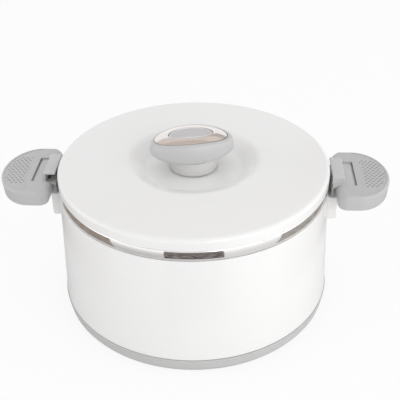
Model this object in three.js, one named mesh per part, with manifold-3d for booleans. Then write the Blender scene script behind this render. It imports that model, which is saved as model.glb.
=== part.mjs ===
// Thermal serving bowl with a lift-off lid and two fold-down side handles.
// An insulated bowl: a pressed steel liner in a moulded plastic wall, with foam between them. The lid is a
// foam-filled cover and liner with an oval knob. Each handle turns on a pin through a block on the wall, and
// carries a sliding thumb catch. Millimetres, +Z up, origin under the middle of the foot. +X runs to the
// right handle.
import * as THREE from "three";
import { mergeVertices } from "three/addons/utils/BufferGeometryUtils.js";
import Module from "manifold-3d";

const wasm = await Module();
wasm.setup();

// Fits and facets
const clearance = 0.3; // gap between two pieces that rest on each other
const overrun = 3; // how far a cut runs past the face that it opens
const roundSides = 48; // facets round the bowl and the lid
const knobSides = 36; // facets round the knob
const smallSides = 12; // facets round pins and screws
const bendSides = 16; // facets round the end of a handle
const filletSteps = 3; // facets of a rounded corner that shows, and one of a hidden corner
const hiddenSteps = 1;

// Base: a grey dish that closes the wall from below, on a ring-shaped foot
const baseHeight = 12.8;
const baseRadius = 108.7;
const baseWall = 2.4;
const footInset = 4.1; // from the widest part of the base in to the foot's edge
const footWidth = 5.5;
const footHeight = 2.6; // how far the middle of the base stands above the table
const footTurnHeight = 4; // where the side of the base turns in to the foot
const footTurnInset = 1.4;
const footRounding = 3;
const snapRingRise = 7; // ring that stands up inside the wall
const plugRadius = 7; // plug of the hole that the foam is filled through
const plugFlange = 2.5;
const plugFlangeThickness = 1;

// Wall: a white shell that flares a little to the base
const shellLedge = 0.6; // how far the wall stands inside the edge of the base
const shellTaper = 3.4;
const shellTop = 101.6;
const shellWall = 2.4;
const collarRootFall = 4; // where the thick root of the collar blends into the wall

// Inner bowl of pressed steel, with a rim turned out and down over the wall's collar
const rimHeight = 8.2;
const rimStep = 0.5; // how far the rim stands inside the top of the wall
const rimWidth = 11.2;
const rimCorner = 1.6;
const steel = 0.8;
const bowlTaper = 4.8; // from the mouth in to the floor
const bowlFloor = 31; // height of the inside of the floor
const bowlCorner = 25;

// Lid cover: skirt, shoulder, gently domed top and a dished well round the knob
const lidOverhang = 0.8; // how far the lid stands out over the rim
const lidWall = 2.3;
const skirtHeight = 9.8;
const shoulderRounding = 3.2;
const crestRise = 2.8;
const wellLipRadius = 50.5;
const wellLipRounding = 11;
const wellFloorRadius = 38;
const wellFloorRounding = 12;
const wellDepth = 7;

// Lid liner: a shallow plug that hangs into the bowl, with a silicone seal round it
const linerWall = 1.8;
const linerDepth = 12.2; // how far the plug reaches below its flange
const plugGap = 2.6; // between the plug and the bowl
const plugTaper = 1.4;
const plugCorner = 6;
const sealHeight = 6.6;
const sealLipThickness = 0.9;
const sealGap = 0.6; // between the seal's lip and the bowl's mouth

// Knob: a round stem, an oval grip, a domed trim plate and an inlay that hides the screw
const knobTurn = 12; // degrees that the knob's long axis stands off the line of the handles
const stemRadius = 18.5;
const stemHeight = 11.1;
const gripHalfLength = 32.7;
const gripHalfWidth = 20.1;
const gripHeight = 15.5; // from the stem to the rim of the trim plate
const gripWaistShare = 0.29; // height of the widest section, of gripHeight
const gripUndersideShare = 0.64; // flat of the underside, of gripHalfLength
const gripOffset = 0.9; // how far its middle stands off the screw, towards -X
const trimOffset = 1.7;
const trimHalfLength = 27.6;
const trimHalfWidth = 14.2;
const trimRecess = 1.3;
const trimSag = 2.6; // how far the plate's tips bend down
const trimDome = 1.8; // rise of the plate from its rim to the inlay
const inlayHalfLength = 17;
const inlayHalfWidth = 7.7;
const inlayProud = 0.3;
const inlayBevel = 0.8;
const screwRadius = 2.4;
const screwHeadRadius = 4.6;
const screwHeadHeight = 3;
const screwSeatHeight = 5.6; // seat of the head above the stem
const nutRadius = 5.2;
const nutHeight = 4;

// Hinge: a block on the wall, with a barrel round the pin
const hingeReach = 10; // from the lid's edge out to the pin
const hingeDrop = 7.6; // from the rim down to the pin
const pinRadius = 1.7;
const barrelRadius = 4;
const blockGapToLid = 1;
const blockShelf = 5.8; // width of its raised inner part
const blockRamp = 1.2;
const blockRise = 5.9; // from the pin to its top
const blockPlay = 0.8; // gap between the block and each lug

// Boss on the wall, which carries the hinge block on two screws from below
const bossSetback = 3.6; // how far its outer face stays inside the pin's axis
const bossHalfWidth = 14.7;
const bossHeight = 22;
const bossCorner = 4.5;
const bossBevel = 1.2;
const bossWall = 2;
const bossRoof = 2.8;
const bossDepth = 2.6; // how far it is let into the wall, so that its sides meet the curve
const hingeScrewInset = 2.2; // from the block's inner end
const hingeScrewSpread = 8;
const hingeScrewRadius = 1.1;
const hingeScrewHeadRadius = 1.8;
const hingeScrewHeadHeight = 1.4;
const hingeScrewLength = 9;

// Handle: a hollow D-shaped paddle, open below, whose two lugs straddle the block
const paddleRise = 8.2; // from the pin to its top
const paddleHeight = 13.3;
const knuckleReach = 6.1; // from the pin in to its end
const bendReach = 10.3; // from the pin out to where its straight sides pass into a half ellipse
const paddleLength = 36.3; // from the pin
const paddleHalfWidth = 34.2;
const paddleCorner = 7.5;
const paddleEdge = 2; // rounding of the top edge
const paddleFoot = 2; // rounding of the lower edge
const paddleDraft = 0.8; // how far the skirt leans in, over its height
const paddleWall = 2.2;
const knuckleTopRounding = 6;
const knuckleLowRounding = 2.5;
const windowReach = 9.8; // from the pin out to the end of the window
const windowHalfWidth = 17.8;
const lugThickness = 4.4;
const pocketFloor = 1.5; // thickness below the catch's tail

// Thumb catch: a bar beside the lid, a plate in the window and a tail under the paddle's skin
const catchGapToLid = 1.3;
const catchTravel = 6;
const barHeight = 5.7; // above the paddle
const barWidth = 9.2;
const barHalfLength = 15;
const barSkin = 1.9;
const barWall = 1.5;
const barLift = 2; // gap between the bar's end wall and the block
const barLean = 1.2; // how far the bar's outer wall runs out to the plate
const barRounding = 1.2;
const plateDrop = 1.1; // how far the plate lies below the paddle's top
const plateThickness = 1.5;
const slotWidth = 1.3;
const tailDrop = 1.2; // how far the tail lies below the plate
const tailThickness = 1.6;
const tailLength = 8;

// Heights and radii that follow from the sizes above
const floorTop = footHeight + baseWall;
const seam = baseHeight + clearance;
const shellBottomRadius = baseRadius - shellLedge;
const shellTopRadius = shellBottomRadius - shellTaper;
const shellLean = shellTaper / (shellTop - seam);
const shellRadiusAt = (height) => shellTopRadius + shellLean * (shellTop - height);
const wallInsideAt = (height) => shellRadiusAt(height) - shellWall;
const snapRingTop = baseHeight + snapRingRise;
const snapRingRadius = wallInsideAt(snapRingTop) - clearance;
const collarRoot = shellTop - collarRootFall;
const rimTop = shellTop + rimHeight;
const rimRadius = shellTopRadius - rimStep;
const collarRadius = rimRadius - steel - clearance;
const collarTop = rimTop - steel - clearance;
const bowlRadius = rimRadius - rimWidth;
const bowlFloorRadius = bowlRadius - bowlTaper;
const lidRadius = rimRadius + lidOverhang;
const skirtBottom = rimTop + clearance;
const shoulderHeight = skirtBottom + skirtHeight;
const crestHeight = shoulderHeight + crestRise;
const wellFloor = crestHeight - wellDepth;
const linerFlange = skirtBottom + clearance;
const plugTopRadius = bowlRadius - plugGap;
const stemBottom = wellFloor + clearance;
const stemTop = stemBottom + stemHeight;
const gripBottom = stemTop + clearance;
const gripRim = gripBottom + gripHeight;
const trimBottom = gripRim - trimRecess + clearance;
const holeRadius = screwRadius + clearance;
const screwSeat = stemTop + screwSeatHeight;
const nutTop = wellFloor - lidWall - clearance;
const nutBottom = nutTop - nutHeight;
const hingeX = lidRadius + hingeReach;
const hingeZ = rimTop - hingeDrop;
const blockInner = lidRadius + blockGapToLid;
const blockBottom = hingeZ - barrelRadius;
const blockTop = hingeZ + blockRise;
const blockHalfWidth = windowHalfWidth - blockPlay;
const bossTop = blockBottom - clearance;
const bossBottom = bossTop - bossHeight;
const bossReach = hingeX - bossSetback;
const bossCeiling = bossTop - bossRoof;
const hingeScrewTip = bossCeiling - clearance + hingeScrewLength;
const paddleTop = hingeZ + paddleRise;
const paddleBottom = paddleTop - paddleHeight;
const paddleInner = hingeX - knuckleReach;
const paddleBend = hingeX + bendReach;
const lugSide = windowHalfWidth + lugThickness;
const windowEnd = hingeX + windowReach;
const barInner = lidRadius + catchGapToLid;
const barOuter = barInner + barWidth;
const catchTop = paddleTop + barHeight;
const plateTop = paddleTop - plateDrop;
const plateOuter = windowEnd - slotWidth;
const plateBottom = plateTop - plateThickness;
const tailTop = plateTop - tailDrop;
const tailBottom = tailTop - tailThickness;
const tailEnd = windowEnd + tailLength;

// A closed body of the geometry, whose faces share their vertices.
function solid(geometry) {
  const bare = geometry.clone();
  bare.deleteAttribute("normal");
  bare.deleteAttribute("uv");
  const merged = mergeVertices(bare);
  const vertProperties = merged.attributes.position.array;
  return new wasm.Manifold(new wasm.Mesh({ numProp: 3, vertProperties, triVerts: new Uint32Array(merged.index.array) }));
}

// A named mesh of the body.
function piece(name, body, material) {
  const made = body.getMesh();
  const geometry = new THREE.BufferGeometry();
  geometry.setAttribute("position", new THREE.BufferAttribute(made.vertProperties, made.numProp));
  geometry.setIndex(new THREE.BufferAttribute(made.triVerts, 1));
  const mesh = new THREE.Mesh(geometry.toNonIndexed(), material);
  mesh.geometry.computeVertexNormals();
  mesh.name = name;
  return mesh;
}

// The points of an outline whose corners are [x, y] or [x, y, rounding]. An open outline keeps its ends.
function rounded(corners, closed = false, steps = filletSteps) {
  const count = corners.length;
  return corners.flatMap(([x, y, rounding = 0], i) => {
    const corner = new THREE.Vector2(x, y);
    if (!rounding || (!closed && (i === 0 || i === count - 1))) return [corner];
    const [back, ahead] = [(i + count - 1) % count, (i + 1) % count].map((k) =>
      new THREE.Vector2(corners[k][0], corners[k][1]).sub(corner),
    );
    const halfAngle = back.angleTo(ahead) / 2;
    const reach = Math.min(rounding / Math.tan(halfAngle), back.length() / 2, ahead.length() / 2);
    const [start, end] = [back, ahead].map((side) => side.clone().setLength(reach).add(corner));
    const radius = reach * Math.tan(halfAngle);
    const middle = back.normalize().add(ahead.normalize()).setLength(radius / Math.sin(halfAngle)).add(corner);
    const from = start.sub(middle).angle();
    const turn = ((end.sub(middle).angle() - from + 3 * Math.PI) % (2 * Math.PI)) - Math.PI;
    return Array.from({ length: steps + 1 }, (_, k) => {
      const angle = from + (turn * k) / steps;
      return new THREE.Vector2(radius * Math.cos(angle), radius * Math.sin(angle)).add(middle);
    });
  });
}

// The path moved sideways by a distance, to the right of its direction.
function beside(path, distance) {
  const last = path.length - 1;
  return path.map((point, i) => {
    const [into, out] = [Math.max(i, 1), Math.min(i + 1, last)].map((k) => path[k].clone().sub(path[k - 1]).normalize());
    const right = new THREE.Vector2(into.y + out.y, -into.x - out.x).normalize();
    return right.multiplyScalar(distance / (right.x * into.y - right.y * into.x)).add(point);
  });
}

// The closed profile of a sheet that lies to the right of the path.
const sheet = (path, thickness) => [...path, ...beside(path, thickness).reverse()];

// The profile of radii and heights, anticlockwise, turned round the Z axis.
function turned(profile, sides = roundSides) {
  const points = profile.map((p) => (p.isVector2 ? p : new THREE.Vector2(...p)));
  return solid(new THREE.LatheGeometry([...points, points[0]], sides).rotateX(Math.PI / 2));
}

// A plain round bar, or a hole's cutter, along Z, between two heights.
const bar = (radius, bottom, top, sides = smallSides) => turned([[0, bottom], [radius, bottom], [radius, top], [0, top]], sides);

// An outline of x and z, extruded along Y between -halfWidth and halfWidth.
function acrossY(outline, halfWidth) {
  const shape = new THREE.Shape(outline.map((p) => (p.isVector2 ? p : new THREE.Vector2(...p))));
  const geometry = new THREE.ExtrudeGeometry(shape, { depth: 2 * halfWidth, bevelEnabled: false });
  return solid(geometry.translate(0, 0, -halfWidth).rotateX(Math.PI / 2));
}

// A box between two corners.
function block([x0, y0, z0], [x1, y1, z1]) {
  const geometry = new THREE.BoxGeometry(x1 - x0, y1 - y0, z1 - z0);
  return solid(geometry.translate((x0 + x1) / 2, (y0 + y1) / 2, (z0 + z1) / 2));
}

// A body skinned over rings of points, each seen anticlockwise from above. A closed skin runs from the last
// ring back to the first, as a ring-shaped piece does, and an open one has flat ends.
function skinned(rings, closed = false) {
  const count = rings[0].length;
  const positions = rings.flat().flatMap((p) => [p.x, p.y, p.z]);
  const faces = [];
  const bands = closed ? rings.length : rings.length - 1;
  for (let r = 0; r < bands; r++) {
    const [low, high] = [r * count, ((r + 1) % rings.length) * count];
    for (let k = 0; k < count; k++) {
      const next = (k + 1) % count;
      faces.push(low + k, low + next, high + next, low + k, high + next, high + k);
    }
  }
  if (!closed) {
    const top = (rings.length - 1) * count;
    for (const [a, b, c] of THREE.ShapeUtils.triangulateShape(rings[0], []))
      faces.push(a, c, b, top + a, top + b, top + c);
  }
  const geometry = new THREE.BufferGeometry();
  geometry.setAttribute("position", new THREE.Float32BufferAttribute(positions, 3));
  geometry.setIndex(faces);
  return solid(geometry);
}

const plastic = (color, roughness) => new THREE.MeshStandardMaterial({ color, roughness, metalness: 0 });
const metal = (color, roughness) => new THREE.MeshStandardMaterial({ color, roughness, metalness: 1 });
const white = plastic(0xe9e8e8, 0.3);
const lightGrey = plastic(0xc9c8c8, 0.4);
const handleGrey = plastic(0xb4b4b6, 0.45);
const hingeGrey = plastic(0x9a9a9a, 0.5);
const foam = plastic(0xe8dfb8, 0.9);
const silicone = plastic(0xdcdcda, 0.6);
const brushedSteel = metal(0xb9b4b0, 0.25);
const chrome = metal(0xd8ccc4, 0.12);

// The grey base: foot ring, turned-in side, and a snap ring that stands inside the wall.
function baseCap() {
  const footRadius = baseRadius - footInset;
  const footInner = footRadius - footWidth;
  const side = rounded([[footInner, 0], [footRadius, 0, footRounding],
    [baseRadius - footTurnInset, footTurnHeight, footRounding], [baseRadius, baseHeight]]);
  return turned([
    [plugRadius, footHeight],
    [footInner - footHeight, footHeight],
    ...side,
    [snapRingRadius, baseHeight],
    [snapRingRadius, snapRingTop],
    [snapRingRadius - baseWall, snapRingTop],
    [snapRingRadius - baseWall, floorTop],
    [plugRadius, floorTop],
  ]);
}

// The plug of the filling hole: a short bung with a thin flange under the base.
function basePlug() {
  const bungRadius = plugRadius - clearance;
  const flangeTop = footHeight - clearance;
  const flangeRadius = plugRadius + plugFlange;
  return turned([
    [0, flangeTop - plugFlangeThickness],
    [flangeRadius, flangeTop - plugFlangeThickness],
    [flangeRadius, flangeTop],
    [bungRadius, flangeTop],
    [bungRadius, floorTop],
    [0, floorTop],
  ], smallSides);
}

// Cutters on the line of the two screws of a block, up to a height.
function hingeScrewBores(radius, top) {
  return [-hingeScrewSpread, hingeScrewSpread]
    .map((y) => bar(radius, bossBottom - overrun, top).translate([blockInner + hingeScrewInset, y, 0]))
    .reduce((all, next) => all.add(next));
}

// A hollow boss at +X, open below, with two screw holes in its roof.
function boss() {
  const outline = rounded([[-bossHalfWidth, bossTop], [-bossHalfWidth, bossBottom, bossCorner],
    [bossHalfWidth, bossBottom, bossCorner], [bossHalfWidth, bossTop]], true);
  const root = shellTopRadius - bossDepth;
  const geometry = new THREE.ExtrudeGeometry(new THREE.Shape(outline), {
    depth: bossReach - bossBevel - root,
    bevelThickness: bossBevel,
    bevelSize: bossBevel,
    bevelOffset: -bossBevel,
    bevelSegments: 2,
  });
  const body = solid(geometry.rotateX(Math.PI / 2).rotateZ(Math.PI / 2).translate(root, 0, 0));
  const hollow = block([root - overrun, bossWall - bossHalfWidth, bossBottom - overrun],
    [bossReach - bossWall, bossHalfWidth - bossWall, bossCeiling]);
  return body
    .subtract(hollow)
    .subtract(hingeScrewBores(hingeScrewHeadRadius + clearance, bossCeiling))
    .subtract(hingeScrewBores(hingeScrewRadius + clearance, bossTop + overrun));
}

// The white wall, with the collar at its top and a boss on each side.
function outerShell() {
  const collarInner = collarRadius - shellWall;
  const inner = [[collarInner, shellTop], [wallInsideAt(collarRoot), collarRoot], [wallInsideAt(seam), seam]];
  const wall = turned(rounded([[shellBottomRadius, seam], [shellTopRadius, shellTop], [collarRadius, shellTop],
    [collarRadius, collarTop, rimCorner], [collarInner, collarTop], ...inner], true, hiddenSteps));
  const inside = turned([[0, seam], ...inner.toReversed(), [0, shellTop]]);
  const rightBoss = boss().subtract(inside);
  return wall.add(rightBoss).add(rightBoss.rotate([0, 0, 180]));
}

// The visible side of the steel: floor, wall, and the rim turned out and down.
const steelPath = () => rounded([[0, bowlFloor], [bowlFloorRadius, bowlFloor, bowlCorner],
  [bowlRadius, rimTop, rimCorner], [rimRadius, rimTop, rimCorner], [rimRadius, shellTop + clearance]]);

// Foam between the wall and the steel bowl.
function bodyInsulation() {
  const ringTop = snapRingTop + clearance;
  const ringInside = snapRingRadius - baseWall - clearance;
  const foamTop = collarRoot - clearance;
  const overSteel = steel + 2 * clearance;
  const bowlLean = bowlTaper / (rimTop - bowlFloor);
  const underBowl = rounded([[bowlRadius - bowlLean * (rimTop - foamTop) + overSteel, foamTop],
    [bowlFloorRadius + overSteel, bowlFloor - overSteel, bowlCorner], [0, bowlFloor - overSteel]]);
  return turned([
    [0, floorTop + clearance],
    [ringInside, floorTop + clearance],
    [ringInside, ringTop],
    [wallInsideAt(ringTop) - clearance, ringTop],
    [wallInsideAt(foamTop) - clearance, foamTop],
    ...underBowl,
  ]);
}

// The upper side of the lid cover, from a radius in the well out to a height on the skirt.
const coverPath = (innerRadius, bottom, steps) => rounded([[innerRadius, wellFloor],
  [wellFloorRadius, wellFloor, wellFloorRounding], [wellLipRadius, crestHeight, wellLipRounding],
  [lidRadius, shoulderHeight, shoulderRounding], [lidRadius, bottom]], false, steps);

// The white lid cover, with the hole for the knob's screw.
function lidCover() {
  const underside = beside(coverPath(holeRadius, skirtBottom, hiddenSteps), lidWall);
  return turned([...underside, ...coverPath(holeRadius, skirtBottom, filletSteps).reverse()]);
}

// The underside of the lid liner, from its flange in to the middle.
const linerPath = () => rounded([[lidRadius - lidWall - clearance, linerFlange], [plugTopRadius, linerFlange],
  [plugTopRadius - plugTaper, linerFlange - linerDepth, plugCorner], [0, linerFlange - linerDepth]]);

// Foam in the lid, with a pocket for the knob's nut.
function lidInsulation() {
  const top = beside(coverPath(0, linerFlange + linerWall + 2 * clearance, hiddenSteps), lidWall + clearance);
  const bottom = beside(linerPath(), linerWall + clearance);
  bottom[0].x = top.at(-1).x;
  const pocket = bar(nutRadius + 2 * clearance, nutBottom - 2 * clearance, wellFloor);
  return turned([...top, ...bottom].reverse(), knobSides).subtract(pocket);
}

// The seal: a band on the plug with a lip that leans out to the bowl.
function lidSeal() {
  const inner = plugTopRadius + clearance;
  const lip = inner + sealLipThickness;
  const top = linerFlange - clearance;
  const bottom = top - sealHeight;
  return turned([[inner, bottom], [lip, bottom], [bowlRadius - sealGap, (bottom + top) / 2], [lip, top], [inner, top]]);
}

// An oval ring of the knob at a height, with its middle off the screw and its ends bent down.
function oval(halfLength, halfWidth, height, offset = 0, sag = 0) {
  return Array.from({ length: knobSides }, (_, k) => {
    const angle = (2 * Math.PI * k) / knobSides;
    const along = halfLength * Math.cos(angle);
    const drop = sag * (along / trimHalfLength) ** 2;
    return new THREE.Vector3(along - offset, halfWidth * Math.sin(angle), height - drop);
  });
}

function knobStem() {
  return turned([[holeRadius, stemBottom], [stemRadius, stemBottom], [stemRadius, stemTop], [holeRadius, stemTop]],
    knobSides);
}

// The oval grip: flat under the middle, widest low down, with a recess for the trim plate and the seat of the
// screw's head in its middle.
function knobGrip() {
  const waist = gripBottom + gripWaistShare * gripHeight;
  const recessHalfLength = trimHalfLength + clearance;
  const recessHalfWidth = trimHalfWidth + clearance;
  const flat = gripUndersideShare * gripHalfLength;
  const flatWidth = Math.min(flat, stemRadius);
  const lowShares = [[0, 0], [0.62, 0.2], [0.9, 0.55], [1, 1]]; // of the way out to the waist, and up to it
  const sideShares = [[0.1, 0.3], [0.36, 0.6], [0.74, 0.86], [1, 1]]; // of the way in to the rim, and up to it
  const low = lowShares.map(([out, up]) => oval(
    flat + out * (gripHalfLength - flat),
    flatWidth + out * (gripHalfWidth - flatWidth),
    gripBottom + up * (waist - gripBottom),
    gripOffset,
  ));
  const side = sideShares.map(([inward, up]) => oval(
    gripHalfLength - inward * (gripHalfLength - recessHalfLength),
    gripHalfWidth - inward * (gripHalfWidth - recessHalfWidth),
    waist + up * (gripRim - waist),
    gripOffset + inward * (trimOffset - gripOffset),
    up * trimSag,
  ));
  const seatRadius = screwHeadRadius + clearance;
  return skinned([
    ...low,
    ...side,
    oval(recessHalfLength, recessHalfWidth, gripRim - trimRecess, trimOffset, trimSag),
    oval(seatRadius, seatRadius, gripRim - trimRecess),
    oval(seatRadius, seatRadius, screwSeat),
    oval(holeRadius, holeRadius, screwSeat),
    oval(holeRadius, holeRadius, gripBottom),
  ], true);
}

// The trim plate: an oval ring, domed up to the hole for the inlay.
function knobTrim() {
  const holeHalfLength = inlayHalfLength + clearance;
  const holeHalfWidth = inlayHalfWidth + clearance;
  const domeShares = [[0, 0], [0.3, 0.62], [0.65, 0.9], [1, 1]]; // of the way in to the hole, and of the dome's rise
  const dome = domeShares.map(([inward, up]) => oval(
    trimHalfLength + inward * (holeHalfLength - trimHalfLength),
    trimHalfWidth + inward * (holeHalfWidth - trimHalfWidth),
    gripRim + up * trimDome,
    trimOffset,
    trimSag,
  ));
  return skinned([
    oval(trimHalfLength, trimHalfWidth, trimBottom, trimOffset, trimSag),
    ...dome,
    oval(holeHalfLength, holeHalfWidth, trimBottom, trimOffset, trimSag),
  ], true);
}

// The inlay: a bevelled oval that follows the plate's bend, with a flat bottom over the screw.
function knobInlay() {
  const top = gripRim + trimDome + inlayProud;
  const [topHalfLength, topHalfWidth] = [inlayHalfLength - inlayBevel, inlayHalfWidth - inlayBevel];
  const topShares = [1, 0.6, 0.2]; // sizes of the rings that carry its top
  return skinned([
    oval(inlayHalfLength, inlayHalfWidth, trimBottom, trimOffset),
    oval(inlayHalfLength, inlayHalfWidth, top - inlayBevel, trimOffset, trimSag),
    ...topShares.map((share) => oval(share * topHalfLength, share * topHalfWidth, top, trimOffset, trimSag)),
  ]);
}

function knobScrew() {
  const [tip, headBottom] = [nutBottom - clearance, screwSeat + clearance];
  return turned([[0, tip], [screwRadius, tip], [screwRadius, headBottom], [screwHeadRadius, headBottom],
    [screwHeadRadius, headBottom + screwHeadHeight], [0, headBottom + screwHeadHeight]], smallSides);
}

function knobNut() {
  const hexagon = turned([[0, nutBottom], [nutRadius, nutBottom], [nutRadius, nutTop], [0, nutTop]], 6);
  return hexagon.subtract(bar(holeRadius, nutBottom - overrun, nutTop + overrun));
}

// The block on the boss: a raised inner part beside the lid and a barrel round the pin.
function hingeBlock() {
  const barrel = Array.from({ length: smallSides / 2 + 1 }, (_, k) => {
    const angle = -Math.PI / 2 + (2 * Math.PI * k) / smallSides;
    return [hingeX + barrelRadius * Math.cos(angle), hingeZ + barrelRadius * Math.sin(angle)];
  });
  const shelfEnd = blockInner + blockShelf;
  const profile = [[blockInner, blockBottom], ...barrel, [shelfEnd + blockRamp, hingeZ + barrelRadius],
    [shelfEnd, blockTop], [blockInner, blockTop]];
  return acrossY(profile, blockHalfWidth)
    .subtract(alongHinge(pinRadius + clearance, blockHalfWidth + overrun))
    .subtract(hingeScrewBores(hingeScrewRadius + clearance, hingeScrewTip + clearance));
}

// A round bar along Y, on the hinge's axis.
const alongHinge = (radius, halfLength) => bar(radius, -halfLength, halfLength).rotate([90, 0, 0])
  .translate([hingeX, 0, hingeZ]);

function hingeScrew(y) {
  const headTop = bossCeiling - clearance;
  const headBottom = headTop - hingeScrewHeadHeight;
  return turned([[0, headBottom], [hingeScrewHeadRadius, headBottom], [hingeScrewHeadRadius, headTop],
    [hingeScrewRadius, headTop], [hingeScrewRadius, hingeScrewTip], [0, hingeScrewTip]], smallSides)
    .translate([blockInner + hingeScrewInset, y, 0]);
}

// The paddle's outline at a height, drawn in by an inset: a half ellipse, straight sides and two corners.
function paddleRing(inset, height) {
  const sweep = (count, x, y, radiusX, radiusY, from, turn) => Array.from({ length: count + 1 }, (_, k) => {
    const angle = from + (turn * k) / count;
    return new THREE.Vector3(x + radiusX * Math.cos(angle), y + radiusY * Math.sin(angle), height);
  });
  const [cornerX, cornerY] = [paddleInner + paddleCorner, paddleHalfWidth - paddleCorner];
  const radius = paddleCorner - inset;
  const quarter = Math.PI / 2;
  return [
    ...sweep(bendSides, paddleBend, 0, paddleLength - bendReach - inset, paddleHalfWidth - inset, -quarter, Math.PI),
    ...sweep(filletSteps, cornerX, cornerY, radius, radius, quarter, quarter),
    ...sweep(filletSteps, cornerX, -cornerY, radius, radius, Math.PI, quarter),
  ];
}

// The outside of the paddle: its outline with rounded edges, cut to the rounded end of the knuckles.
function paddleOutside() {
  const roundShares = [[0, 1], [0.29, 0.29], [1, 0]]; // of an edge's rounding: inset, and distance from its face
  const plan = skinned([
    ...roundShares.toReversed().map(([inset, rise]) =>
      paddleRing(paddleDraft + inset * paddleFoot, paddleBottom + rise * paddleFoot)),
    ...roundShares.map(([inset, drop]) => paddleRing(inset * paddleEdge, paddleTop - drop * paddleEdge)),
  ]);
  const beyond = hingeX + paddleLength + overrun;
  const side = rounded([[paddleInner, paddleBottom, knuckleLowRounding], [beyond, paddleBottom],
    [beyond, paddleTop], [paddleInner, paddleTop, knuckleTopRounding]], true);
  return plan.intersect(acrossY(side, paddleHalfWidth + overrun));
}

// The handle: the hollow paddle, with lugs on both sides of the window, and a pocket for the catch's tail.
function handle() {
  const outside = paddleOutside();
  const skinBottom = paddleTop - paddleWall;
  const low = paddleBottom - overrun;
  const cavity = skinned([paddleRing(paddleDraft + paddleWall, low), paddleRing(paddleWall, skinBottom)]);
  const lugs = outside.intersect(block([paddleInner - overrun, -lugSide, low], [windowEnd + paddleWall, lugSide, paddleTop]));
  const pocketBottom = tailBottom - clearance;
  const pocketEnd = tailEnd + catchTravel + clearance;
  const plateEnd = plateOuter + catchTravel + clearance;
  const housingBottom = pocketBottom - pocketFloor;
  const housing = block([windowEnd, -lugSide, housingBottom], [pocketEnd + paddleWall, lugSide, skinBottom + clearance]);
  const cut = (x0, z0, x1, z1) => block([x0, -windowHalfWidth, z0], [x1, windowHalfWidth, z1]);
  return outside
    .subtract(cavity)
    .add(lugs)
    .add(housing)
    .subtract(cut(paddleInner - overrun, low, windowEnd, paddleTop + overrun))
    .subtract(cut(windowEnd - overrun, low, windowEnd + paddleWall + overrun, housingBottom))
    .subtract(cut(windowEnd - overrun, pocketBottom, pocketEnd, tailTop + clearance))
    .subtract(cut(windowEnd - overrun, pocketBottom, plateEnd, plateTop + clearance))
    .subtract(alongHinge(pinRadius + clearance, lugSide + overrun));
}

// The thumb catch: the bar, open to the lid, with an end wall at -Y, and the plate with its lower tail.
function thumbCatch() {
  const barCeiling = catchTop - barSkin;
  const wallInner = barOuter - barWall;
  const wallFoot = barOuter + barLean;
  const profile = rounded([[barInner, barCeiling], [wallInner, barCeiling], [wallInner, plateBottom],
    [wallFoot, plateBottom], [wallFoot, plateTop], [barOuter, catchTop, barRounding],
    [barInner, catchTop, barRounding]], true);
  const heel = plateOuter - slotWidth;
  const plate = acrossY([[wallInner, plateBottom], [heel, plateBottom], [heel, tailBottom], [tailEnd, tailBottom],
    [tailEnd, tailTop], [plateOuter, tailTop], [plateOuter, plateTop], [wallInner, plateTop]],
    windowHalfWidth - clearance);
  const endWall = block([barInner, -barHalfLength, blockTop + barLift], [barOuter, barWall - barHalfLength, catchTop - barSkin]);
  return acrossY(profile, barHalfLength).add(plate).add(endWall);
}

const bowl = new THREE.Group();
bowl.add(
  piece("base_cap", baseCap(), lightGrey),
  piece("base_plug", basePlug(), lightGrey),
  piece("outer_shell", outerShell(), white),
  piece("body_insulation", bodyInsulation(), foam),
  piece("inner_bowl", turned(sheet(steelPath(), steel).reverse()), brushedSteel),
);

const lid = new THREE.Group();
const knob = new THREE.Group();
knob.rotation.z = THREE.MathUtils.degToRad(knobTurn);
knob.add(
  piece("knob_stem", knobStem(), lightGrey),
  piece("knob_grip", knobGrip(), lightGrey),
  piece("knob_trim", knobTrim(), chrome),
  piece("knob_inlay", knobInlay(), lightGrey),
  piece("knob_screw", knobScrew(), brushedSteel),
  piece("knob_nut", knobNut(), brushedSteel),
);
lid.add(
  piece("lid_cover", lidCover(), white),
  piece("lid_liner", turned(sheet(linerPath(), linerWall).reverse()), white),
  piece("lid_insulation", lidInsulation(), foam),
  piece("lid_seal", lidSeal(), silicone),
  knob,
);
bowl.add(lid);

// The left side is the right one turned half round, with the same mouldings.
for (const [side, turn] of [["right", 0], ["left", Math.PI]]) {
  const group = new THREE.Group();
  group.rotation.z = turn;
  group.add(
    piece("hinge_block_" + side, hingeBlock(), hingeGrey),
    piece("hinge_pin_" + side, alongHinge(pinRadius, lugSide), brushedSteel),
    piece("hinge_screw_" + side + "_front", hingeScrew(-hingeScrewSpread), brushedSteel),
    piece("hinge_screw_" + side + "_back", hingeScrew(hingeScrewSpread), brushedSteel),
    piece("handle_" + side, handle(), handleGrey),
    piece("catch_" + side, thumbCatch(), handleGrey),
  );
  bowl.add(group);
}

export default bowl;
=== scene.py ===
import math

import bmesh
import bpy
from mathutils import Matrix, Vector


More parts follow.
